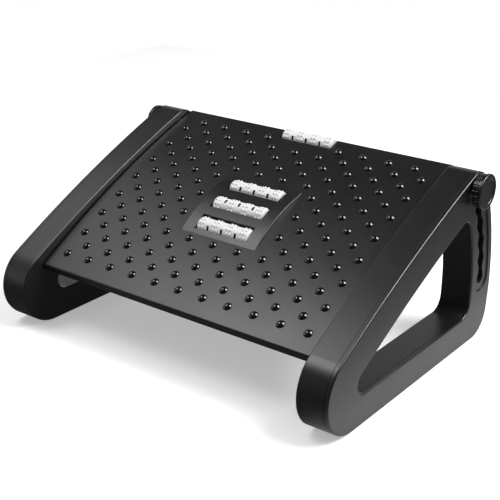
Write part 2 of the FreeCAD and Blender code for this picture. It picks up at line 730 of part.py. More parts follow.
def footplate():
    """Crowned plate with its domes, arched roller panel, lips, ribs, ears and bosses."""
    outer = prism(plate_profile(0), -plate_half_width, plate_half_width)
    inner = prism(plate_profile(plate_wall), -plate_half_width + plate_wall, plate_half_width - plate_wall)
    panel = round_edges(panel_prism(0), panel_edge_round, on_arch)
    envelope = outer.fuse([panel, panel_prism(plinth_drop, plinth_drop + plinth_width)])
    shell = envelope.cut([inner, panel_prism(plate_wall)])
    top = plate_crown_height + panel_rise
    inside = []
    inside += plate_ribs()
    for x, depth in retainer_places():
        inside.append(Part.makeCylinder(boss_radius, top - cradle_base,
                                        FreeCAD.Vector(x, depth, cradle_base)))
    boss_end = plate_half_width - rod_boss_depth
    for side in (-1, 1):
        low, high = span_on_side(side, boss_end, plate_half_width)
        inside.append(ear(low, high))
        inside.append(rod((rod_y, rod_z), rear_skirt_boss(), low, high))
    room = envelope.fuse(box(-plate_half_width, plate_half_width, -ear_front_reach,
                             plate_rear - rear_roll_radius, -ear_radius, cradle_base))
    body = shell.fuse([piece.common(room) for piece in inside])
    cuts = []
    for depth, level in roller_places():
        cuts.append(box(-slot_half_width, slot_half_width, depth - slot_length / 2,
                        depth + slot_length / 2, cradle_base, top + 1))
        cuts += axle_slots(depth, level)
    cuts.append(box(-slot_half_width, slot_half_width, rear_notch_front, plate_rear + 1,
                    rear_skirt_base + 1, top))
    cuts.append(rod((rear_roller_y, rear_roller_height), axle_radius + axle_clearance,
                    -axle_half_length, axle_half_length))
    cuts.append(rod((0, 0), pivot_rod_radius + running_clearance, -half_width, half_width))
    cuts.append(rod((rod_y, rod_z), rod_radius + fit_clearance, -half_width, half_width))
    reach = nut_flats / math.sqrt(3) + nut_relief
    for side in (-1, 1):
        low, high = span_on_side(side, boss_end - nut_height - nut_relief, boss_end)
        cuts.append(box(low, high, rod_y - reach, rod_y + reach, rod_z - reach,
                        rod_z + nut_flats / 2 + nut_relief))
    for x, depth in retainer_places():
        cuts.append(Part.makeCylinder(screw_radius + screw_clearance, retainer_screw_length,
                                      FreeCAD.Vector(x, depth, cradle_base - 1)))
    domes = [dome(x, depth) for x, depth in dome_places()]
    return on_plate(single(body.cut(cuts).fuse(domes)))


def rear_skirt_boss():
    return min(rod_radius + side_boss_wall, rod_z - rear_skirt_base)


def axle_slots(depth, level):
    """Open-bottomed seats for an axle in the two cradle walls."""
    reach = axle_radius + axle_clearance
    cuts = []
    for side in (-1, 1):
        x_low, x_high = span_on_side(side, slot_half_width - 1, slot_half_width + cradle_wall + 1)
        cuts.append(box(x_low, x_high, depth - reach, depth + reach, cradle_base - 1, level))
        cuts.append(rod((depth, level), reach, x_low, x_high))
    return cuts


def nub_row():
    """Nubs along a roller: a pair in each stretch that the windows leave."""
    level = roller_radius - nub_sink
    places = []
    for stretch in range(4):
        middle = (stretch - 1.5) * window_pitch
        places += [middle - nub_pair_pitch / 2, middle + nub_pair_pitch / 2]
    return [Part.makeSphere(nub_radius, FreeCAD.Vector(x, 0, level)) for x in places]


def turned(shape, angle):
    """A copy turned about the X axis, in degrees, from straight up towards the front."""
    copy = shape.copy()
    copy.rotate(FreeCAD.Vector(0, 0, 0), FreeCAD.Vector(1, 0, 0), angle)
    return copy


def roller():
    """Hollow roller along X through the origin, with rows of nubs and narrow windows."""
    half = roller_half_length
    axis = (0.0, 0.0)
    body = chamfer_ends(rod(axis, roller_radius, -half, half), roller_edge_chamfer)
    nubs = [turned(nub, 360 * row / nub_rows) for row in range(nub_rows) for nub in nub_row()]
    cuts = [rod(axis, roller_radius - roller_wall, -half + roller_end_wall, half - roller_end_wall),
            rod(axis, axle_radius + axle_clearance, -half - 1, half + 1)]
    for row in range(window_rows):
        for x in (-window_pitch, 0.0, window_pitch):
            window = box(x - window_width / 2, x + window_width / 2, -window_length / 2, window_length / 2,
                         roller_radius - roller_wall - 1, roller_radius + 1)
            cuts.append(turned(window, 360 * row / window_rows))
    return single(body.fuse(nubs).cut(cuts))


def axle(place):
    return on_plate(chamfer_ends(rod(place, axle_radius, -axle_half_length, axle_half_length), axle_chamfer))


def roller_retainer():
    """Screwed-on plate whose fingers close the axle seats."""
    top = cradle_base - retainer_gap
    base = top - retainer_thickness
    half = panel_length / 2
    body = box(-retainer_half_width, retainer_half_width, plate_middle - half, plate_middle + half, base, top)
    body = round_edges(body, retainer_corner, lambda edge: edge.BoundBox.ZLength > retainer_thickness / 2)
    fingers = []
    cuts = []
    for depth, level in roller_places():
        reach = axle_radius + axle_clearance - finger_clearance
        for side in (-1, 1):
            low, high = span_on_side(side, slot_half_width, slot_half_width + cradle_wall)
            fingers.append(box(low, high, depth - reach, depth + reach, base, level))
        cuts.append(rod((depth, level), axle_radius + axle_clearance, -half_width, half_width))
        window = slot_half_width - retainer_window_inset
        length = slot_length / 2 - retainer_window_margin
        cuts.append(box(-window, window, depth - length, depth + length, base - 1, top + 1))
    body = body.fuse(fingers)
    for x, depth in retainer_places():
        cuts.append(Part.makeCylinder(screw_radius + screw_clearance, 2 * retainer_thickness,
                                      FreeCAD.Vector(x, depth, base - 1)))
    return on_plate(single(body.cut(cuts)))


def retainer_screws():
    seat = cradle_base - retainer_gap - retainer_thickness
    top = seat - screw_head_height
    screws = []
    for x, depth in retainer_places():
        head = Part.makeCylinder(screw_head_radius, screw_head_height, FreeCAD.Vector(x, depth, top))
        head = round_edges(head, screw_head_round, lambda edge: edge.BoundBox.ZMax < top + 0.01)
        shank = Part.makeCylinder(screw_radius, retainer_screw_length - retainer_gap,
                                  FreeCAD.Vector(x, depth, seat))
        recess = [box(x - wide, x + wide, depth - tall, depth + tall, top - 1, top + recess_depth)
                  for wide, tall in recess_arms]
        screws.append(single(head.fuse(shank).cut(recess)))
    return on_plate(Part.makeCompound(screws))


# Rods, nuts, washers and bushes.
def pivot_rod():
    """Tie rod through the plate's ears, with thinner threaded ends in the frames."""
    shoulder = inner_face
    end = parting_face - pivot_end_inset
    return rod(pivot, pivot_rod_radius, -shoulder, shoulder).fuse(rod(pivot, pivot_end_radius, -end, end))


def ring(centre, radius, bore, x_low, x_high):
    return rod(centre, radius, x_low, x_high).cut(rod(centre, bore, x_low - 1, x_high + 1))


def nut(centre, bore, x_low, x_high):
    """Hexagon nut with turned corners."""
    body = hexagon(centre, nut_flats, x_low, x_high)
    blank = chamfer_ends(rod(centre, nut_flats / math.sqrt(3) - nut_turning, x_low, x_high), nut_chamfer)
    return body.common(blank).cut(rod(centre, bore, x_low - 1, x_high + 1))


def pivot_washer():
    seat = inner_face + pivot_boss_length
    return ring(pivot, small_washer_radius, pivot_end_radius + fit_clearance,
                seat, seat + small_washer_thickness)


def pivot_nut():
    seat = inner_face + pivot_boss_length + small_washer_thickness
    return nut(pivot, pivot_end_radius + fit_clearance, seat, seat + nut_height)


def clamp_rod():
    left = half_width + head_thread_depth
    right = knob_face - rod_end_inset
    return chamfer_ends(rod(top_rod, rod_radius, -left, right), nut_chamfer)


def rod_nut():
    """Locks the clamp rod against the inner side of the plate's boss."""
    seat = plate_half_width - rod_boss_depth
    return nut(top_rod, rod_radius + fit_clearance, seat - nut_height, seat)


def slot_bush():
    """Flanged sleeve that keeps the frame off the plate and rides in the wavy slot."""
    seat = plate_half_width
    flange = rod(top_rod, bush_flange_radius, seat, seat + bush_flange_thickness)
    sleeve = rod(top_rod, bush_radius, seat, channel_floor - washer_gap)
    return single(flange.fuse(sleeve).cut(rod(top_rod, rod_radius + fit_clearance, seat - 1, half_width)))


def knob_washer():
    seat = channel_floor + washer_gap
    return ring(top_rod, washer_radius, rod_radius + running_clearance, seat, seat + washer_thickness)


# Hand knob and rod head.
def knob():
    """Grooved hand knob: hub against the washer, skirt, and a deep pocket closed by the cap."""
    hub_base = channel_floor + washer_gap + washer_thickness + washer_gap
    skirt = half_width + knob_skirt_gap
    cap_seat = knob_face - knob_cap_depth
    pocket_seat = cap_seat - cap_plug_depth
    body = rod(top_rod, knob_radius, skirt, cap_seat)
    body = round_edges(body, knob_edge_round, lambda edge: edge.BoundBox.XMax < skirt + 0.01)
    grooves = []
    for k in range(knob_groove_count):
        middle = polar(top_rod, knob_radius + knob_groove_radius - knob_groove_depth,
                       2 * math.pi * k / knob_groove_count)
        grooves.append(rod(middle, knob_groove_radius, skirt - 1, cap_seat + 1))
    band = skirt + knob_band_place
    grooves.append(ring(top_rod, knob_radius + 1, knob_radius - knob_groove_depth,
                        band, band + knob_band_width))
    body = body.cut(grooves).fuse(rod(top_rod, knob_hub_radius, hub_base, skirt))
    cuts = [rod(top_rod, rod_radius + running_clearance, hub_base - 1, cap_seat + 1),
            hexagon(top_rod, nut_flats + 2 * fit_clearance, pocket_seat - insert_height, cap_seat + 1),
            rod(top_rod, cap_pocket_radius, pocket_seat, cap_seat + 1)]
    return single(body.cut(cuts))


def knob_insert():
    """Threaded metal insert in the knob's hexagonal pocket."""
    high = knob_face - knob_cap_depth - cap_plug_depth
    return hexagon(top_rod, nut_flats, high - insert_height, high).cut(
        rod(top_rod, rod_radius + running_clearance, high - insert_height - 1, high + 1))


def dished_disc(radius, seat, face):
    """Disc with a rounded rim and a sunk flat middle."""
    disc = rod(top_rod, radius, seat, face)
    disc = round_edges(disc, rim_round, lambda edge: edge.BoundBox.XMin > face - 0.01)
    dish = rod(top_rod, dish_radius * radius / knob_rim_radius, face - dish_depth, face + 1)
    dish = dish.makeChamfer(dish_slope, [edge for edge in dish.Edges if edge.BoundBox.XMax < face])
    return disc.cut(dish)


def knob_cap():
    """Smooth outer disc with a raised rim and a dished face."""
    seat = knob_face - knob_cap_depth
    plug_end = seat - cap_plug_depth + fit_clearance
    plug = rod(top_rod, cap_pocket_radius - fit_clearance, plug_end, seat)
    bore = rod(top_rod, rod_radius + cap_bore_gap, plug_end - 1, seat + cap_bore_gap)
    return single(dished_disc(knob_rim_radius, seat, knob_face).fuse(plug).cut(bore))


def rod_head():
    """Low round head on the clamp rod's left end, drawn on the right and mirrored."""
    neck_base = channel_floor + washer_gap + washer_thickness + washer_gap
    seat = half_width + head_gap
    body = dished_disc(head_radius, seat, half_width + head_projection)
    body = body.fuse(rod(top_rod, head_neck_radius, neck_base, seat))
    bore = rod(top_rod, rod_radius + fit_clearance, neck_base - 1,
               half_width + head_thread_depth + fit_clearance)
    return mirrored(single(body.cut(bore)))


def on_both_sides(name, shape):
    """A piece of the right side and its mirror image on the left."""
    return {"right_" + name: shape, "left_" + name: mirrored(shape)}


def all_parts():
    parts = {}
    parts.update(on_both_sides("frame_shell", frame_shell()))
    parts.update(on_both_sides("frame_cover", frame_cover()))
    parts.update(on_both_sides("cover_screws", cover_screws()))
    for name, span in zip(("front_pad", "rear_pad"), pad_spans()):
        parts.update(on_both_sides(name, rubber_pad(*span)))
    parts["footplate"] = footplate()
    places = roller_places() + [(rear_roller_y, rear_roller_height)]
    bare_roller = roller()
    for name, place, lean in zip(("front", "middle", "back", "edge"), places, window_leans):
        leaning = turned(bare_roller, lean)
        leaning.translate(in_space(place))
        parts[name + "_roller"] = on_plate(leaning)
        parts[name + "_roller_axle"] = axle(place)
    parts["roller_retainer"] = roller_retainer()
    parts["retainer_screws"] = retainer_screws()
    parts["pivot_rod"] = pivot_rod()
    parts.update(on_both_sides("pivot_washer", pivot_washer()))
    parts.update(on_both_sides("pivot_nut", pivot_nut()))
    parts["clamp_rod"] = clamp_rod()
    parts.update(on_both_sides("rod_nut", rod_nut()))
    parts.update(on_both_sides("slot_bush", slot_bush()))
    parts["knob_washer"] = knob_washer()
    parts["head_washer"] = mirrored(knob_washer())
    parts["knob"] = knob()
    parts["knob_insert"] = knob_insert()
    parts["knob_cap"] = knob_cap()
    parts["rod_head"] = rod_head()
    return parts


os.makedirs("parts", exist_ok=True)
for part_name, part_shape in all_parts().items():
    part_shape.translate(FreeCAD.Vector(-whole_middle, 0, 0))
    part_shape.exportStep("parts/" + part_name + ".step")
    solids = len(part_shape.Solids)
    print(part_name, "solids", solids, "volume", round(part_shape.Volume), "valid", part_shape.isValid())
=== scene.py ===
# %% [markdown]
# # Tilting under-desk footrest
# Two hollow side frames carry a crowned plate on a rod through their noses. A threaded rod at the
# plate's back runs in a wavy slot in each frame, and a hand knob on its right end clamps it at one
# of six heights.
#
# The CAD gives every piece its place and shape. This script adds the finishes, some shapes that are
# fuller or crisper than the CAD's (the plate's domes and rear edge, the rollers' nubs and windows),
# covers under the rollers, an even strip along each frame's top edge, and a plain studio.

import json
import math

import bmesh
import bpy
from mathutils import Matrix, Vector


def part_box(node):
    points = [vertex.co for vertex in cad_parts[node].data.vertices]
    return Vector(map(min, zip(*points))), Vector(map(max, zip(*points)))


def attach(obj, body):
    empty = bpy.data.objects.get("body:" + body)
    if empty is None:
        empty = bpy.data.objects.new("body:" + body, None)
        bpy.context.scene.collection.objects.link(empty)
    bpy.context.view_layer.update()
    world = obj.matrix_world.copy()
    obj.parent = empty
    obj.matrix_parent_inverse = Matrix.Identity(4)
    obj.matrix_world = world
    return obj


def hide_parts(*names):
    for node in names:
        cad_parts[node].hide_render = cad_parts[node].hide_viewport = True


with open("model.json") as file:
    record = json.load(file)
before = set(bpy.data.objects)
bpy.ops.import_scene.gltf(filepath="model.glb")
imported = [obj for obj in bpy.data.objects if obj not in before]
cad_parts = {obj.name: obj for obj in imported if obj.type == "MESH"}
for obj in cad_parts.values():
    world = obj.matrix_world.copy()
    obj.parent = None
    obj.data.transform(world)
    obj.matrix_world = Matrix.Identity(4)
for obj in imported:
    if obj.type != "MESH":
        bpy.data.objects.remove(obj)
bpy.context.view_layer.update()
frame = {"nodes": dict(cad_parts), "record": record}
nodes = frame["nodes"]
frames_middle = (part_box("right_frame_cover")[1][0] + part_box("left_frame_cover")[0][0]) / 2


# %% [markdown]
# ## Finishes
# Every finish is procedural and lies on Object coordinates, which here are metres in the footrest's
# own frame. A moulded plastic gets a fine spark-eroded grain as bump, and a slow drift in its
# roughness, as a tool polished by hand leaves it. A number that is the same all over sits on the
# shader's own socket.

# %% Node helpers
def fill(tree, socket, value):
    """Gives a socket a number, a tuple or another node's output."""
    if isinstance(value, bpy.types.NodeSocket):
        tree.links.new(value, socket)
    else:
        socket.default_value = value


def add_node(tree, kind, output, settings=None, **inputs):
    """One output of a new node with its inputs filled; a name's underscores stand for spaces."""
    node = tree.nodes.new(kind)
    for key, value in (settings or {}).items():
        setattr(node, key, value)
    for name, value in inputs.items():
        fill(tree, node.inputs[name.replace("_", " ")], value)
    return node.outputs[output]


def add_math(tree, operation, first, second=0.0):
    node = tree.nodes.new("ShaderNodeMath")
    node.operation = operation
    fill(tree, node.inputs[0], first)
    fill(tree, node.inputs[1], second)
    return node.outputs[0]


def add_ramp(tree, value, start, end, at_start, at_end):
    """Value that runs evenly from at_start to at_end while another runs from start to end."""
    return add_node(tree, "ShaderNodeMapRange", "Result", Value=value, From_Min=start, From_Max=end,
                    To_Min=at_start, To_Max=at_end)


def add_mix(tree, factor, low, high, kind="FLOAT"):
    """Mix of two numbers or colours."""
    return add_node(tree, "ShaderNodeMix", "Result", {"data_type": kind}, Factor=factor, A=low,
                    B=high)


def object_axes(tree):
    """The three Object coordinates, in metres."""
    place = add_node(tree, "ShaderNodeTexCoord", "Object")
    node = tree.nodes.new("ShaderNodeSeparateXYZ")
    tree.links.new(place, node.inputs["Vector"])
    return node.outputs["X"], node.outputs["Y"], node.outputs["Z"]


def distance_from_line(tree, y, z, centre):
    """Distance from a line along X through a centre (y, z)."""
    across = add_math(tree, "SUBTRACT", y, centre[0])
    up = add_math(tree, "SUBTRACT", z, centre[1])
    square_across = add_math(tree, "MULTIPLY", across, across)
    square_up = add_math(tree, "MULTIPLY", up, up)
    return add_math(tree, "SQRT", add_math(tree, "ADD", square_across, square_up))


# %% Finish helpers
NOISE_SPREAD = (0.3, 0.7)
GRAIN_DETAIL = 3.0


def new_material(name, color, roughness, **shader_values):
    """Material with a Principled shader, its colour and its constant values set on the sockets."""
    material = bpy.data.materials.new(name)
    material.use_nodes = True
    shader = material.node_tree.nodes["Principled BSDF"]
    shader.inputs["Base Color"].default_value = (*color, 1.0)
    shader.inputs["Roughness"].default_value = roughness
    for socket, value in shader_values.items():
        shader.inputs[socket.replace("_", " ")].default_value = value
    return material


def shader_socket(material, name):
    return material.node_tree.nodes["Principled BSDF"].inputs[name]


def add_noise(tree, scale, detail=2.0, stretch=(1.0, 1.0, 1.0)):
    """Noise on Object coordinates; scale is cells a metre."""
    place = add_node(tree, "ShaderNodeTexCoord", "Object")
    placed = add_node(tree, "ShaderNodeMapping", "Vector", Vector=place, Scale=stretch)
    return add_node(tree, "ShaderNodeTexNoise", "Fac", Vector=placed, Scale=scale, Detail=detail)


def add_grain(material, size, depth, stretch=(1.0, 1.0, 1.0)):
    """Bump from fine noise; size and depth are in metres."""
    tree = material.node_tree
    height = add_noise(tree, 1.0 / size, GRAIN_DETAIL, stretch)
    bump = add_node(tree, "ShaderNodeBump", "Normal", Height=height, Strength=1.0, Distance=depth)
    tree.links.new(bump, shader_socket(material, "Normal"))


def vary_roughness(material, size, low, high):
    """Roughness that drifts between two values over patches of a size in metres."""
    tree = material.node_tree
    value = add_ramp(tree, add_noise(tree, 1.0 / size), *NOISE_SPREAD, low, high)
    tree.links.new(value, shader_socket(material, "Roughness"))


# %% [markdown]
# The frames, the plate and the knob are black plastic with a satin grain. The domes come from round
# tools that are polished, so they shine more than the crown that they stand on, and have a finish
# of their own.

# %% Black plastics
GLOSS = 0.8
BLACK = (0.004, 0.004, 0.0045)

frame_plastic = new_material("frame_plastic", BLACK, 0.36, Specular_IOR_Level=GLOSS)
vary_roughness(frame_plastic, size=0.05, low=0.34, high=0.39)
add_grain(frame_plastic, size=0.0006, depth=0.000004)

plate_plastic = new_material("plate_plastic", BLACK, 0.36, Specular_IOR_Level=GLOSS)
vary_roughness(plate_plastic, size=0.06, low=0.34, high=0.38)
add_grain(plate_plastic, size=0.0005, depth=0.000005)

dome_plastic = new_material("dome_plastic", BLACK, 0.14, Specular_IOR_Level=GLOSS)
vary_roughness(dome_plastic, size=0.01, low=0.11, high=0.17)

knob_plastic = new_material("knob_plastic", BLACK, 0.32, Specular_IOR_Level=GLOSS)
vary_roughness(knob_plastic, size=0.01, low=0.28, high=0.34)
add_grain(knob_plastic, size=0.0005, depth=0.000004)
print("black plastics for frames, plate, domes and knob")

# %% [markdown]
# The rollers are white shells with dark windows; their inside is near black, a painted shade.
# The rubber is dull, and the steel has the fine turned lines of drawn bar.

# %% White rollers, rubber and steel
ROLLER_WHITE = (0.62, 0.62, 0.62, 1.0)
# Painted shade: the near black colour of each roller's inside.
ROLLER_PAINTED_SHADE = (0.01, 0.01, 0.01, 1.0)
ROLLER_SKIN = 0.0091
ROLLER_END = 0.0335
ROLLER_BLEND = 0.0002

bush_plastic = new_material("bush_plastic", (0.02, 0.02, 0.021), 0.5)
vary_roughness(bush_plastic, size=0.01, low=0.45, high=0.55)

rubber = new_material("rubber", (0.018, 0.018, 0.018), 0.8)
add_grain(rubber, size=0.0008, depth=0.00004)
vary_roughness(rubber, size=0.01, low=0.75, high=0.9)

steel = new_material("steel", (0.62, 0.62, 0.64), 0.3, Metallic=1.0)
vary_roughness(steel, size=0.003, low=0.22, high=0.38)
add_grain(steel, size=0.0004, depth=0.000004, stretch=(0.1, 1.0, 1.0))
print("bush plastic, rubber and steel")


def roller_finish(name):
    """White outside, painted shade inside, told apart by the distance from the roller's axle."""
    material = new_material(name + "_plastic", ROLLER_WHITE[:3], 0.32)
    vary_roughness(material, size=0.004, low=0.25, high=0.4)
    tree = material.node_tree
    x, y, z = object_axes(tree)
    low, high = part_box(name)
    centre = ((low[1] + high[1]) / 2, (low[2] + high[2]) / 2)
    from_axle = distance_from_line(tree, y, z, centre)
    from_middle = add_math(tree, "ABSOLUTE", add_math(tree, "SUBTRACT", x, (low[0] + high[0]) / 2))
    skin = add_ramp(tree, from_axle, ROLLER_SKIN, ROLLER_SKIN + ROLLER_BLEND, 0.0, 1.0)
    end = add_ramp(tree, from_middle, ROLLER_END, ROLLER_END + ROLLER_BLEND, 0.0, 1.0)
    outside = add_math(tree, "MAXIMUM", skin, end)
    # Painted shade: nearer the axle than the skin and within the ends, the colour is near black.
    color = add_mix(tree, outside, ROLLER_PAINTED_SHADE, ROLLER_WHITE, "RGBA")
    tree.links.new(color, shader_socket(material, "Base Color"))
    return material


# %% Give every node its finish
finishes = {
    "frame_plastic": frame_plastic,
    "plate_plastic": plate_plastic,
    "knob_plastic": knob_plastic,
    "bush_plastic": bush_plastic,
    "rubber": rubber,
    "steel": steel,
}
for subpart in frame["record"]["subparts"]:
    node = nodes[subpart["node"]]
    if not node.material_slots:
        node.data.materials.append(None)
    material = finishes.get(subpart["material_slot"]) or roller_finish(subpart["node"])
    for material_slot in node.material_slots:
        material_slot.material = material
print("finished", len(nodes), "nodes")

# %% [markdown]
# ## The plate's domes
# The crown carries 145 low round domes in staggered rows, clear of the roller panel and of the
# notch for the rear roller. They could be modelled one by one, but they follow a rule: a grid of
# points, every second one dropped, is laid on the crown's circle, and one dome is instanced on
# each, leaning with the crown. In the photograph they look fuller than the CAD's, which these
# cover.

# %% Sizes of the plate, in metres
PLATE_TILT = math.radians(25.41)
PIVOT = (frames_middle, -0.105, 0.068)
PLATE_REAR = 0.2734
PLATE_MIDDLE = 0.1229
CROWN_RADIUS = 1.296
CROWN_CENTRE = -1.2641
FIRST_ROW = 0.2524
ROW_PITCH = 0.01707
COLUMN_PITCH = 0.01709
ROWS = 16
COLUMNS = 21
DOME_RADIUS = 0.0053
DOME_HEIGHT = 0.0032
DOME_ROOT = 0.0003
# Half the panel's length and depth, and the notch's half length and start, with the rim round them.
PANEL_KEEP = (0.0600, 0.0565)
NOTCH_KEEP = (0.0440, 0.2491)


# %% Node tree helpers
class Tree:
    """A Geometry Nodes group with named inputs and one geometry output."""

    def __init__(self, name, sizes):
        self.group = bpy.data.node_groups.new(name, "GeometryNodeTree")
        face = self.group.interface
        face.new_socket("Geometry", in_out="INPUT", socket_type="NodeSocketGeometry")
        for key, value in sizes.items():
            kind = "NodeSocketInt" if isinstance(value, int) else "NodeSocketFloat"
            face.new_socket(key, in_out="INPUT", socket_type=kind).default_value = value
        face.new_socket("Material", in_out="INPUT", socket_type="NodeSocketMaterial")
        face.new_socket("Geometry", in_out="OUTPUT", socket_type="NodeSocketGeometry")
        self.given = self.group.nodes.new("NodeGroupInput").outputs
        self.result = self.group.nodes.new("NodeGroupOutput").inputs["Geometry"]

    def add(self, kind, output, settings=None, **inputs):
        return add_node(self.group, kind, output, settings, **inputs)

    def math(self, operation, first, second=0.0):
        return add_math(self.group, operation, first, second)

    def xyz(self, x=0.0, y=0.0, z=0.0):
        return self.add("ShaderNodeCombineXYZ", "Vector", X=x, Y=y, Z=z)

    def split(self, vector):
        """The three parts of a vector."""
        node = self.group.nodes.new("ShaderNodeSeparateXYZ")
        self.group.links.new(vector, node.inputs[0])
        return node.outputs["X"], node.outputs["Y"], node.outputs["Z"]

    def place(self):
        """The three parts of each point's position."""
        return self.split(self.add("GeometryNodeInputPosition", "Position"))

    def finish(self, shape):
        """Realize Instances and Set Material, which the export needs at the end."""
        solid = self.add("GeometryNodeRealizeInstances", "Geometry", Geometry=shape)
        painted = self.add("GeometryNodeSetMaterial", "Geometry", Geometry=solid,
                           Material=self.given["Material"])
        self.group.links.new(painted, self.result)


def made_piece(name, group, material, path=None):
    """Evaluates a node group on a path's points, or on nothing, and returns a plain mesh object."""
    start = path or bpy.data.meshes.new(name + "_carrier")
    carrier = bpy.data.objects.new(name + "_carrier", start)
    bpy.context.scene.collection.objects.link(carrier)
    modifier = carrier.modifiers.new("nodes", "NODES")
    modifier.node_group = group
    for item in group.interface.items_tree:
        if item.name == "Material" and item.in_out == "INPUT":
            modifier[item.identifier] = material
    bpy.context.view_layer.update()
    graph = bpy.context.evaluated_depsgraph_get()
    mesh = bpy.data.meshes.new_from_object(carrier.evaluated_get(graph), depsgraph=graph)
    mesh.name = name
    bpy.data.objects.remove(carrier, do_unlink=True)
    bpy.data.meshes.remove(start)
    piece = bpy.data.objects.new(name, mesh)
    bpy.context.scene.collection.objects.link(piece)
    return piece


# %% One dome
DOME_SIDES = 14
DOME_RINGS = 4
DOME_MERGE = 0.00001


def dome_shape(tree):
    """Round cap with its foot just inside the crown: a cylinder whose rings follow a circle."""
    radius, height = tree.given["Dome Radius"], tree.given["Dome Height"]
    square = tree.math("ADD", tree.math("POWER", radius, 2.0), tree.math("POWER", height, 2.0))
    sphere = tree.math("DIVIDE", square, tree.math("MULTIPLY", height, 2.0))
    low = tree.math("SUBTRACT", sphere, height)
    foot = tree.math("DIVIDE", tree.math("SUBTRACT", low, DOME_ROOT), sphere)
    rim = tree.math("ARCCOSINE", foot)
    blank = tree.add("GeometryNodeMeshCylinder", "Mesh", {"fill_type": "NGON"}, Vertices=DOME_SIDES,
                     Side_Segments=DOME_RINGS, Radius=1.0, Depth=1.0)
    x, y, z = tree.place()
    angle = tree.math("MULTIPLY", tree.math("SUBTRACT", 0.5, z), rim)
    across = tree.math("MULTIPLY", tree.math("SINE", angle), sphere)
    up = tree.math("SUBTRACT", tree.math("MULTIPLY", tree.math("COSINE", angle), sphere), low)
    place = tree.xyz(tree.math("MULTIPLY", x, across), tree.math("MULTIPLY", y, across), up)
    cap = tree.add("GeometryNodeSetPosition", "Geometry", Geometry=blank, Position=place)
    closed = tree.add("GeometryNodeMergeByDistance", "Geometry", Geometry=cap, Distance=DOME_MERGE)
    return tree.add("GeometryNodeSetShadeSmooth", "Geometry", Geometry=closed)


# %% Dome lattice
def inside(tree, value, limit):
    """1 where a value is nearer to 0 than a limit."""
    return tree.math("LESS_THAN", tree.math("ABSOLUTE", value), limit)


def lattice_points(tree):
    """Grid on the flat plate without every second point and clear of the panel and the notch."""
    span = ((COLUMNS - 1) * COLUMN_PITCH, (ROWS - 1) * ROW_PITCH)
    grid = tree.add("GeometryNodeMeshGrid", "Mesh", Size_X=span[0], Size_Y=span[1],
                    Vertices_X=COLUMNS, Vertices_Y=ROWS)
    grid = tree.add("GeometryNodeTransform", "Geometry", Geometry=grid,
                    Translation=(0.0, FIRST_ROW - span[1] / 2, 0.0))
    x, y, _ = tree.place()
    column = tree.math("ROUND", tree.math("DIVIDE", x, COLUMN_PITCH))
    row = tree.math("ROUND", tree.math("DIVIDE", tree.math("SUBTRACT", FIRST_ROW, y), ROW_PITCH))
    steps = tree.math("ADD", row, column)
    even = tree.math("LESS_THAN", tree.math("FLOORED_MODULO", steps, 2.0), 0.5)
    from_middle = tree.math("SUBTRACT", y, PLATE_MIDDLE)
    panel = tree.math("MULTIPLY", inside(tree, x, PANEL_KEEP[0]),
                      inside(tree, from_middle, PANEL_KEEP[1]))
    notch = tree.math("MULTIPLY", inside(tree, x, NOTCH_KEEP[0]),
                      tree.math("GREATER_THAN", y, NOTCH_KEEP[1]))
    drop = tree.math("MAXIMUM", even, tree.math("MAXIMUM", panel, notch))
    return tree.add("GeometryNodeDeleteGeometry", "Geometry", {"domain": "POINT"}, Geometry=grid,
                    Selection=drop)


def dome_tree():
    tree = Tree("plate_domes", {"Dome Radius": DOME_RADIUS, "Dome Height": DOME_HEIGHT,
                                "Crown Radius": CROWN_RADIUS})
    points = lattice_points(tree)
    crown = tree.given["Crown Radius"]
    x, y, _ = tree.place()
    lean = tree.math("ARCSINE", tree.math("DIVIDE", tree.math("SUBTRACT", y, PLATE_MIDDLE), crown))
    level = tree.math("ADD", tree.math("MULTIPLY", tree.math("COSINE", lean), crown), CROWN_CENTRE)
    points = tree.add("GeometryNodeSetPosition", "Geometry", Geometry=points,
                      Position=tree.xyz(x, y, level))
    turn = tree.xyz(tree.math("MULTIPLY", lean, -1.0))
    domes = tree.add("GeometryNodeInstanceOnPoints", "Instances", Points=points,
                     Instance=dome_shape(tree), Rotation=turn)
    placed = tree.add("GeometryNodeTransform", "Geometry", Geometry=domes, Translation=PIVOT,
                      Rotation=(PLATE_TILT, 0.0, 0.0))
    tree.finish(placed)
    return tree.group


plate_domes = made_piece("plate_domes", dome_tree(), dome_plastic)
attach(plate_domes, "plate")
print("domes", len(plate_domes.data.polygons), "faces")

# %% [markdown]
# ## Covers under the rollers
# Behind each roller the photograph is black, so the windows under the rollers are closed. One thin
# cover repeats at three places, so a row of points carries an instance of it. They could be one
# sheet, but three covers stay clear of the retainer that holds the axles.

# %% Covers in the retainer's windows
COVER_SIZE = (0.0664, 0.0184, 0.0012)
COVER_LEVEL = 0.0137
ROLLER_PITCH = 0.033
PANEL_ROLLERS = 3


def cover_tree():
    tree = Tree("roller_covers", {"Cover Length": COVER_SIZE[0], "Cover Width": COVER_SIZE[1],
                                  "Cover Thickness": COVER_SIZE[2], "Covers": PANEL_ROLLERS,
                                  "Pitch": ROLLER_PITCH})
    given = tree.given
    size = tree.xyz(given["Cover Length"], given["Cover Width"], given["Cover Thickness"])
    cover = tree.add("GeometryNodeMeshCube", "Mesh", Size=size)
    first = PLATE_MIDDLE - ROLLER_PITCH * (PANEL_ROLLERS - 1) / 2
    row = tree.add("GeometryNodeMeshLine", "Mesh", Count=given["Covers"],
                   Start_Location=(0.0, first, COVER_LEVEL),
                   Offset=tree.xyz(0.0, given["Pitch"], 0.0))
    covers = tree.add("GeometryNodeInstanceOnPoints", "Instances", Points=row, Instance=cover)
    placed = tree.add("GeometryNodeTransform", "Geometry", Geometry=covers, Translation=PIVOT,
                      Rotation=(PLATE_TILT, 0.0, 0.0))
    tree.finish(placed)
    return tree.group


roller_covers = made_piece("roller_covers", cover_tree(), plate_plastic)
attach(roller_covers, "plate")
print("covers", len(roller_covers.data.polygons), "faces")

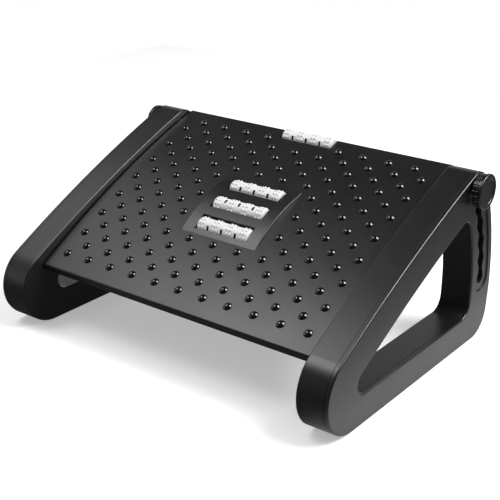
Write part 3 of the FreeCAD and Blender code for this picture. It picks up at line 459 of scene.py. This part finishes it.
# %% [markdown]
# ## Copies of CAD nodes with changed shapes
# These pieces could be modelled anew, but a copy whose points are moved keeps all the rest as the
# CAD has it. Its loose triangles are merged first. The normals of the CAD mesh go along on the
# faces' corners, because a merged mesh of long thin triangles would shade unevenly without them.

# %% Merged copy with the CAD's normals
NEAR = 0.00003
MERGE = 0.000001


def open_copy(name, node_name):
    """New object with a copy of a node's mesh, the merged mesh to work on, and its normals."""
    piece = bpy.data.objects.new(name, nodes[node_name].data.copy())
    bpy.context.scene.collection.objects.link(piece)
    kept = [0.0] * (3 * len(piece.data.loops))
    piece.data.corner_normals.foreach_get("vector", kept)
    layer = piece.data.attributes.new("kept_normal", "FLOAT_VECTOR", "CORNER")
    layer.data.foreach_set("vector", kept)
    work = bmesh.new()
    work.from_mesh(piece.data)
    bmesh.ops.remove_doubles(work, verts=work.verts, dist=MERGE)
    return piece, work, work.loops.layers.float_vector["kept_normal"]


def close_copy(piece, work, node_name, body):
    """Writes the changed mesh back with its normals, in place of the node."""
    work.to_mesh(piece.data)
    work.free()
    piece.data.shade_smooth()
    normals = [item.vector.copy() for item in piece.data.attributes["kept_normal"].data]
    piece.data.attributes.remove(piece.data.attributes["kept_normal"])
    piece.data.normals_split_custom_set(normals)
    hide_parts(node_name)
    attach(piece, body)


# %% [markdown]
# ### The plate's rear edge
# In the photograph the plate ends at the back in a crisp edge, where the CAD has a wide roll. A new
# edge could be joined on, but moving the roll's own points leaves no seam. They lie on a quarter
# circle, and each goes to the same share of a path that runs straight on over the crown, round a
# small corner and down the rear face.

# %% Path of the crisp edge
ROLL_RADIUS = 0.013
REAR_REACH = 0.0012
EDGE_RADIUS = 0.0020
# Shares of the way at which the run over the crown ends and the rear face starts.
CROWN_SHARE = 0.2
FACE_SHARE = 0.8

roll_depth = PLATE_REAR - ROLL_RADIUS
from_middle, from_centre = roll_depth - PLATE_MIDDLE, CROWN_RADIUS - ROLL_RADIUS
roll_height = CROWN_CENTRE + math.sqrt(from_centre ** 2 - from_middle ** 2)
roll_span = math.acos(from_middle / from_centre)
crest = (ROLL_RADIUS * math.cos(roll_span), ROLL_RADIUS * math.sin(roll_span))
rear = ROLL_RADIUS + REAR_REACH
run = (rear - crest[0]) / math.sin(roll_span)
corner = crest[1] - run * math.cos(roll_span)
setback = EDGE_RADIUS * math.tan(roll_span / 2)
print("roll spans", round(math.degrees(roll_span), 1), "degrees")


def edge_path(share):
    """Place from the roll's centre, and the angle that the surface faces, at a share of the way."""
    if share < CROWN_SHARE:
        step = share / CROWN_SHARE * (run - setback)
        along, down = step * math.sin(roll_span), step * math.cos(roll_span)
        return crest[0] + along, crest[1] - down, roll_span
    if share > FACE_SHARE:
        return rear, (1.0 - share) / (1.0 - FACE_SHARE) * (corner - setback), 0.0
    angle = roll_span * (FACE_SHARE - share) / (FACE_SHARE - CROWN_SHARE)
    along, up = EDGE_RADIUS * math.cos(angle), EDGE_RADIUS * math.sin(angle)
    return rear - EDGE_RADIUS + along, corner - setback + up, angle


def on_flat_plate(point):
    """Depth and height of a point about the pivot, with the plate laid flat."""
    y, z = point.y - PIVOT[1], point.z - PIVOT[2]
    cosine, sine = math.cos(PLATE_TILT), math.sin(PLATE_TILT)
    return y * cosine + z * sine, z * cosine - y * sine


def turned(depth, height):
    """Y and Z of a depth and height of the flat plate, measured from the pivot."""
    cosine, sine = math.cos(PLATE_TILT), math.sin(PLATE_TILT)
    return depth * cosine - height * sine, height * cosine + depth * sine


# %% Crisp rear edge
SIDEWAYS = 0.5

crisp_plate, work, layer = open_copy("crisp_plate", "footplate")
moved = 0
for vertex in work.verts:
    depth, height = on_flat_plate(vertex.co)
    back, up = depth - roll_depth, height - roll_height
    on_roll = back > 0 and up > 0 and abs(math.hypot(back, up) - ROLL_RADIUS) < NEAR
    if on_roll:
        back, up, angle = edge_path(min(1.0, max(0.0, 1.0 - math.atan2(up, back) / roll_span)))
        facing = Vector((0.0, *turned(math.cos(angle), math.sin(angle))))
        for loop in vertex.link_loops:
            if abs(loop[layer].x) < SIDEWAYS and loop[layer].dot(facing) > 0:
                loop[layer] = facing
    elif abs(back - ROLL_RADIUS) < NEAR:
        back = rear
    else:
        continue
    place = turned(roll_depth + back, roll_height + up)
    vertex.co.y, vertex.co.z = PIVOT[1] + place[0], PIVOT[2] + place[1]
    moved += 1
close_copy(crisp_plate, work, "footplate", "plate")
print("rear edge points moved", moved)

# %% [markdown]
# ### The rollers' nubs and windows
# The nubs stand out more in the photograph than in the CAD, and the windows are wider. New nubs
# could be set over the old ones, but growing those that are there keeps their rows. Each nub's
# points move away from the middle of its round, and each window's edges move apart along the
# roller.

# %% Fuller nubs and wider windows
ROLLER_RADIUS = 0.0095
ROLLER_WALL = 0.002
WINDOW_PITCH = 0.0195
# Windows lie up to one pitch from the middle, and the stretches between and beyond them up to 1.5.
LAST_WINDOW = 1
LAST_STRETCH = 1.5
WINDOW_HALF_WIDTH = 0.001
WINDOW_SPREAD = 0.0005
NUB_ANGLE = math.radians(30)
NUB_RADIUS = 0.00125
NUB_CENTRE = 0.00935
NUB_PAIR_PITCH = 0.0045
NUB_GROWTH = 1.25
# How far each roller is turned on its axle, in degrees.
WINDOW_LEANS = {
    "front_roller": 50.0,
    "middle_roller": 0.0,
    "back_roller": 36.0,
    "edge_roller": 47.0,
}


def nub_centre(offset, lean):
    """Middle of the nub nearest to a place measured from the roller's middle."""
    stretch = math.floor(offset.x / WINDOW_PITCH) + 0.5
    stretch = min(LAST_STRETCH, max(-LAST_STRETCH, stretch)) * WINDOW_PITCH
    along = stretch + math.copysign(NUB_PAIR_PITCH / 2, offset.x - stretch)
    angle = lean + round((math.atan2(-offset.y, offset.z) - lean) / NUB_ANGLE) * NUB_ANGLE
    return Vector((along, -NUB_CENTRE * math.sin(angle), NUB_CENTRE * math.cos(angle)))


for name, window_lean in WINDOW_LEANS.items():
    roller, work, _ = open_copy("nubbed_" + name, name)
    low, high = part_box(name)
    middle = Vector([(first + last) / 2 for first, last in zip(low, high)])
    lean = math.radians(window_lean) + PLATE_TILT
    on_nubs = on_windows = 0
    for vertex in work.verts:
        offset = vertex.co - middle
        reach = math.hypot(offset.y, offset.z)
        centre = nub_centre(offset, lean)
        window = min(LAST_WINDOW, max(-LAST_WINDOW, round(offset.x / WINDOW_PITCH)))
        from_window = offset.x - window * WINDOW_PITCH
        if reach > ROLLER_RADIUS - NEAR and (offset - centre).length < NUB_RADIUS + NEAR:
            vertex.co = middle + centre + (offset - centre) * NUB_GROWTH
            on_nubs += 1
        elif (abs(abs(from_window) - WINDOW_HALF_WIDTH) < NEAR
              and ROLLER_RADIUS - ROLLER_WALL - NEAR < reach < ROLLER_RADIUS + NEAR):
            vertex.co.x += math.copysign(WINDOW_SPREAD, from_window)
            on_windows += 1
    close_copy(roller, work, name, name)
    print(name, "nub points", on_nubs, "window points", on_windows)

# %% [markdown]
# ## Top edges of the covers
# A bright line runs along the rounded outer edge of each top rail. On the CAD mesh the line wavers,
# most likely because the triangles of that narrow round are long and slanting. The round could be
# meshed anew, but a thin strip laid over it gives the same even line. Its path is the CAD's own
# edge, and each point of the path makes one column of a grid.

# %% Path along a cover's top edge
EDGE_ROUND = 0.0016
EDGE_SKIN = 0.00005
# Limits on a normal's parts that pick the rail's flat top, and a level above the foot's own edge.
TOP_FACING = 0.6
PLAIN_WALL = 0.01
RAIL_LEVEL = 0.060
STATION_DIGITS = 5


def top_edge_path(node_name, side):
    """Points where the top rail's round starts, from front to rear, with the way the rail faces."""
    cad_mesh = nodes[node_name].data
    start = max(side * place[0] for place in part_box(node_name)) - EDGE_ROUND
    found = {}
    for loop, normal in zip(cad_mesh.loops, cad_mesh.corner_normals):
        place, way = cad_mesh.vertices[loop.vertex_index].co, normal.vector
        on_edge = abs(side * place.x - start) < NEAR and place.z > RAIL_LEVEL
        if on_edge and abs(way.x) < PLAIN_WALL and way.z > TOP_FACING:
            found.setdefault(round(place.y, STATION_DIGITS), []).append((place.copy(), way.copy()))
    stations = [found[key] for key in sorted(found)]
    path = bpy.data.meshes.new(node_name + "_path")
    path.from_pydata([station[0][0] for station in stations], [], [])
    ways = path.attributes.new("way", "FLOAT_VECTOR", "POINT").data
    for item, station in zip(ways, stations):
        item.vector = sum((way for _, way in station), Vector()).normalized()
    return path


# %% Strip along the path
ARC_STEPS = 8
STRIP_ROWS = ARC_STEPS + 3
STRIP_CREASE = math.radians(30)


def edge_tree(side, stations):
    """Closed strip: rows round a quarter circle and its centre; both ends are drawn in to that."""
    tree = Tree("top_edge", {"Edge Round": EDGE_ROUND, "Skin": EDGE_SKIN})
    given = tree.given
    grid = tree.add("GeometryNodeMeshGrid", "Mesh", Vertices_X=stations + 2, Vertices_Y=STRIP_ROWS)
    index = tree.add("GeometryNodeInputIndex", "Index")
    column = tree.math("FLOOR", tree.math("DIVIDE", tree.math("ADD", index, 0.5), STRIP_ROWS))
    row = tree.math("SUBTRACT", index, tree.math("MULTIPLY", column, STRIP_ROWS))
    station = tree.math("SUBTRACT", column, 1.0)
    path_place = tree.add("GeometryNodeInputPosition", "Position")
    path_way = tree.add("GeometryNodeInputNamedAttribute", "Attribute",
                        {"data_type": "FLOAT_VECTOR"}, Name="way")
    place, way = (tree.add("GeometryNodeSampleIndex", "Value",
                           {"data_type": "FLOAT_VECTOR", "clamp": True},
                           Geometry=given["Geometry"], Index=station, Value=value)
                  for value in (path_place, path_way))
    on_arc = tree.math("LESS_THAN", row, ARC_STEPS + 0.5)
    angle = tree.math("MULTIPLY", tree.math("MULTIPLY", row, on_arc), math.pi / 2 / ARC_STEPS)
    at_centre = tree.math("COMPARE", row, ARC_STEPS + 1.0)
    at_front = tree.math("LESS_THAN", column, 0.5)
    at_rear = tree.math("GREATER_THAN", column, stations + 0.5)
    drawn_in = tree.math("MAXIMUM", at_centre, tree.math("MAXIMUM", at_front, at_rear))
    radius = tree.math("MULTIPLY", tree.math("ADD", given["Edge Round"], given["Skin"]),
                       tree.math("SUBTRACT", 1.0, drawn_in))
    outward = tree.math("MULTIPLY", tree.math("MULTIPLY", tree.math("SINE", angle), radius), side)
    up = tree.math("SUBTRACT", tree.math("MULTIPLY", tree.math("COSINE", angle), radius),
                   given["Edge Round"])
    x, y, z = tree.split(place)
    _, way_y, way_z = tree.split(way)
    moved = tree.xyz(tree.math("ADD", x, outward),
                     tree.math("ADD", y, tree.math("MULTIPLY", way_y, up)),
                     tree.math("ADD", z, tree.math("MULTIPLY", way_z, up)))
    strip = tree.add("GeometryNodeSetPosition", "Geometry", Geometry=grid, Position=moved)
    strip = tree.add("GeometryNodeMergeByDistance", "Geometry", Geometry=strip, Distance=MERGE)
    tree.finish(tree.add("GeometryNodeSetShadeSmooth", "Geometry", Geometry=strip))
    return tree.group


for side, word in ((1, "right"), (-1, "left")):
    path = top_edge_path(word + "_frame_cover", side)
    strip = made_piece(word + "_top_edge", edge_tree(side, len(path.vertices)), frame_plastic, path)
    work = bmesh.new()
    work.from_mesh(strip.data)
    bmesh.ops.recalc_face_normals(work, faces=work.faces)
    open_edges = sum(edge.is_boundary for edge in work.edges)
    work.to_mesh(strip.data)
    work.free()
    strip.data.set_sharp_from_angle(angle=STRIP_CREASE)
    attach(strip, "base")
    print(strip.name, "faces", len(strip.data.polygons), "open edges", open_edges)

# %% [markdown]
# ## Studio
# The footrest stands on a white table top. What the camera sees directly is white all round. The
# black plastic mostly shows what it reflects. So the room round it is dark, but for a bright strip
# low along the back and at the far left. In glossy rays the table top carries a painted reflection:
# it glows only beside the right frame, and under the footrest it stays dark, a painted shadow. A
# large soft light high on the left gives the plate its gradient, a small one fills in from that
# side, and one behind on the right draws the bright edges.

# %% Table top
# Each ramp holds where it starts and ends, and its values there.
FLOOR_SIDE = 2.4
FLOOR_GLOW = 0.35
FLOOR_WHITE = (0.8, 0.8, 0.8, 1.0)
# Painted reflection: glossy rays see a near black table top with a glow beside the right frame.
FLOOR_IN_PAINTED_REFLECTION = (0.02, 0.02, 0.02, 1.0)
# Painted shadow: that glow fades out under the footrest.
OUT_OF_PAINTED_SHADOW = (0.17, 0.24, 0.05, 1.0)
AWAY_FROM_FRAME = (0.25, 0.39, 1.0, 0.03)
BACK_FROM_NOSE = (-0.26, -0.12, 0.05, 1.0)

floor_material = new_material("floor", FLOOR_WHITE[:3], 0.9)
tree = floor_material.node_tree
shader_socket(floor_material, "Emission Color").default_value = (1.0, 1.0, 1.0, 1.0)
x, y, _ = object_axes(tree)
out_of_painted_shadow = add_ramp(tree, x, *OUT_OF_PAINTED_SHADOW)
beside = add_ramp(tree, x, *AWAY_FROM_FRAME)
behind_nose = add_ramp(tree, y, *BACK_FROM_NOSE)
# Painted reflection, with a painted shadow under the footrest.
painted_reflection = add_math(tree, "MULTIPLY", add_math(tree, "MULTIPLY", beside, behind_nose), out_of_painted_shadow)
is_glossy = add_node(tree, "ShaderNodeLightPath", "Is Glossy Ray")
glow = add_mix(tree, is_glossy, FLOOR_GLOW, painted_reflection)
tree.links.new(glow, shader_socket(floor_material, "Emission Strength"))
tree.links.new(add_mix(tree, is_glossy, FLOOR_WHITE, FLOOR_IN_PAINTED_REFLECTION, "RGBA"),
               shader_socket(floor_material, "Base Color"))

half = FLOOR_SIDE / 2
corners = [(-half, -half, 0), (half, -half, 0), (half, half, 0), (-half, half, 0)]
floor_mesh = bpy.data.meshes.new("floor")
floor_mesh.from_pydata(corners, [], [(0, 1, 2, 3)])
floor = bpy.data.objects.new("floor", floor_mesh)
floor.data.materials.append(floor_material)
bpy.context.scene.collection.objects.link(floor)
print("table top", FLOOR_SIDE, "m wide")

# %% Room
# The ramps run over the parts of a direction, each from -1 to 1.
ROOM_SEEN = 1.0
ROOM_LIGHT = 0.40
ROOM_DARK = 0.03
ROOM_STRIP = 0.9
LOW_DOWN = (0.25, 0.55, 1.0, 0.0)
ABOVE_FLOOR = (-0.02, 0.02, 0.0, 1.0)
BEHIND = (0.2, 0.6, 0.0, 1.0)
NOT_RIGHT = (-0.1, 0.25, 1.0, 0.0)
FAR_LEFT = (-0.8, -0.5, 1.0, 0.0)

world = bpy.data.worlds.new("studio")
bpy.context.scene.world = world
world.use_nodes = True
tree = world.node_tree
direction = tree.nodes.new("ShaderNodeSeparateXYZ")
tree.links.new(add_node(tree, "ShaderNodeTexCoord", "Generated"), direction.inputs["Vector"])
low_down = add_ramp(tree, direction.outputs["Z"], *LOW_DOWN)
above_floor = add_ramp(tree, direction.outputs["Z"], *ABOVE_FLOOR)
behind = add_ramp(tree, direction.outputs["Y"], *BEHIND)
not_right = add_ramp(tree, direction.outputs["X"], *NOT_RIGHT)
far_left = add_ramp(tree, direction.outputs["X"], *FAR_LEFT)
around = add_math(tree, "MAXIMUM", add_math(tree, "MULTIPLY", behind, not_right), far_left)
bright = add_math(tree, "MULTIPLY", add_math(tree, "MULTIPLY", low_down, above_floor), around)
reflected = add_mix(tree, bright, ROOM_DARK, ROOM_STRIP)
rays = tree.nodes.new("ShaderNodeLightPath")
lit = add_mix(tree, rays.outputs["Is Glossy Ray"], ROOM_LIGHT, reflected)
seen = add_mix(tree, rays.outputs["Is Camera Ray"], lit, ROOM_SEEN)
tree.links.new(seen, tree.nodes["Background"].inputs["Strength"])
tree.nodes["Background"].inputs["Color"].default_value = (1.0, 1.0, 1.0, 1.0)
print("room", world.name)


# %% Lights
LIGHT_TARGET = (0.0, 0.0, 0.12)
LIGHT_DISTANCE = 1.8


def soft_light(name, direction, width, height, radiance):
    """Area light that looks at the footrest from a given direction, with a given radiance."""
    lamp = bpy.data.lights.new(name, "AREA")
    lamp.shape = "RECTANGLE"
    lamp.size = width
    lamp.size_y = height
    lamp.energy = radiance * math.pi * width * height
    holder = bpy.data.objects.new(name, lamp)
    away = Vector(direction).normalized()
    holder.location = Vector(LIGHT_TARGET) + away * LIGHT_DISTANCE
    holder.rotation_mode = "QUATERNION"
    holder.rotation_quaternion = (-away).to_track_quat("-Z", "Y")
    bpy.context.scene.collection.objects.link(holder)


soft_light("key", (-0.42, -0.30, 0.86), width=0.9, height=0.7, radiance=5.5)
soft_light("side", (-0.74, 0.04, 0.67), width=0.6, height=0.6, radiance=1.1)
soft_light("rim", (0.60, 0.27, 0.75), width=1.1, height=1.0, radiance=13.0)
print("lights", len(bpy.data.lights))

# %% [markdown]
# ## Camera
# Its place, turn and lens come from a fit to the photograph's domes and frame edges.

# %% Camera
CAMERA_PLACE = (frames_middle + 0.706361, -0.922251, 0.571035)
CAMERA_TURN = (67.8562, -0.3349, 37.3104)
SENSOR_WIDTH = 36.0
LENS = 77.7

camera = bpy.data.cameras.new("camera")
camera.sensor_width = SENSOR_WIDTH
camera.lens = LENS
camera_holder = bpy.data.objects.new("camera", camera)
camera_holder.location = CAMERA_PLACE
camera_holder.rotation_euler = [math.radians(angle) for angle in CAMERA_TURN]
bpy.context.scene.collection.objects.link(camera_holder)
bpy.context.scene.camera = camera_holder
bpy.context.scene.view_settings.view_transform = "Standard"
print("camera", LENS, "mm")
